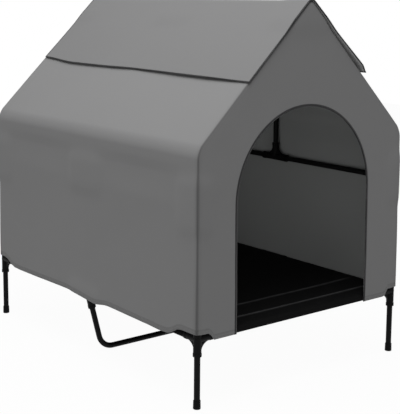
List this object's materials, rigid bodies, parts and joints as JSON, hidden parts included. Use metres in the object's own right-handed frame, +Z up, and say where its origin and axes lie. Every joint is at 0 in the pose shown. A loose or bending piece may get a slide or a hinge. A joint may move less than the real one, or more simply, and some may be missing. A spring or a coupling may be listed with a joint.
{
  "type": "elevated dog bed with canopy",
  "caption": "Raised fabric cot bed on a knock-down tube frame, with a house-shaped lift-off fabric canopy, an arched doorway and a ridge rain flap.",
  "frame": {"origin": "on the floor, under the middle of the bed", "axes": "+Z up, -Y towards the arched doorway, ridge along Y, +X to the right for someone looking in at the doorway"},
  "size_m": [0.7482, 1.0392, 1.0263],
  "materials": {
    "tube_steel": "satin black powder coat",
    "connector_plastic": "moulded black plastic, fine grain",
    "foot_plastic": "moulded black plastic, fine grain",
    "sling_fabric": "black coated woven polyester",
    "canopy_fabric": "grey woven polyester",
    "binding_tape": "black woven binding tape",
    "vent_mesh": "black open mesh"
  },
  "bodies": {
    "bed": {"leg_front_left": "tube_steel", "foot_cap_front_left": "foot_plastic", "bed_corner_front_left": "connector_plastic", "side_rail_front_left": "tube_steel", "leg_front_right": "tube_steel", "foot_cap_front_right": "foot_plastic", "bed_corner_front_right": "connector_plastic", "side_rail_front_right": "tube_steel", "leg_rear_left": "tube_steel", "foot_cap_rear_left": "foot_plastic", "bed_corner_rear_left": "connector_plastic", "side_rail_rear_left": "tube_steel", "leg_rear_right": "tube_steel", "foot_cap_rear_right": "foot_plastic", "bed_corner_rear_right": "connector_plastic", "side_rail_rear_right": "tube_steel", "front_rail": "tube_steel", "rear_rail": "tube_steel", "bed_tee_left": "connector_plastic", "bed_tee_right": "connector_plastic", "centre_leg": "tube_steel", "bed_sling": "sling_fabric"},
    "canopy": {"upright_front_left": "tube_steel", "beam_corner_front_left": "connector_plastic", "side_beam_front_left": "tube_steel", "upright_front_right": "tube_steel", "beam_corner_front_right": "connector_plastic", "side_beam_front_right": "tube_steel", "upright_rear_left": "tube_steel", "beam_corner_rear_left": "connector_plastic", "side_beam_rear_left": "tube_steel", "upright_rear_right": "tube_steel", "beam_corner_rear_right": "connector_plastic", "side_beam_rear_right": "tube_steel", "beam_tee_left": "connector_plastic", "beam_tee_right": "connector_plastic", "hoop_front_left": "tube_steel", "hoop_front_right": "tube_steel", "ridge_connector_front": "connector_plastic", "hoop_middle_left": "tube_steel", "hoop_middle_right": "tube_steel", "ridge_connector_middle": "connector_plastic", "hoop_rear_left": "tube_steel", "hoop_rear_right": "tube_steel", "ridge_connector_rear": "connector_plastic", "ridge_pole_front": "tube_steel", "ridge_pole_rear": "tube_steel", "cover_left": "canopy_fabric", "cover_right": "canopy_fabric", "cover_front": "canopy_fabric", "cover_rear": "canopy_fabric", "doorway_binding": "binding_tape", "roof_vent_left": "vent_mesh", "roof_vent_right": "vent_mesh", "rain_flap_ridge": "canopy_fabric"},
    "flap_left": {"rain_flap_left": "canopy_fabric"},
    "flap_right": {"rain_flap_right": "canopy_fabric"}
  },
  "joints": [
    {"name": "canopy_lift", "type": "slide", "parent": "bed", "child": "canopy", "axis": [0, 0, 1], "range_m": [0, 0.15]},
    {"name": "flap_left_hinge", "type": "hinge", "parent": "canopy", "child": "flap_left", "pos_m": [-0.0252, 0, 1.00769], "axis": [0, 1, 0], "range_deg": [0, 100]},
    {"name": "flap_right_hinge", "type": "hinge", "parent": "canopy", "child": "flap_right", "pos_m": [0.0252, 0, 1.00769], "axis": [0, -1, 0], "range_deg": [0, 100]}
  ]
}
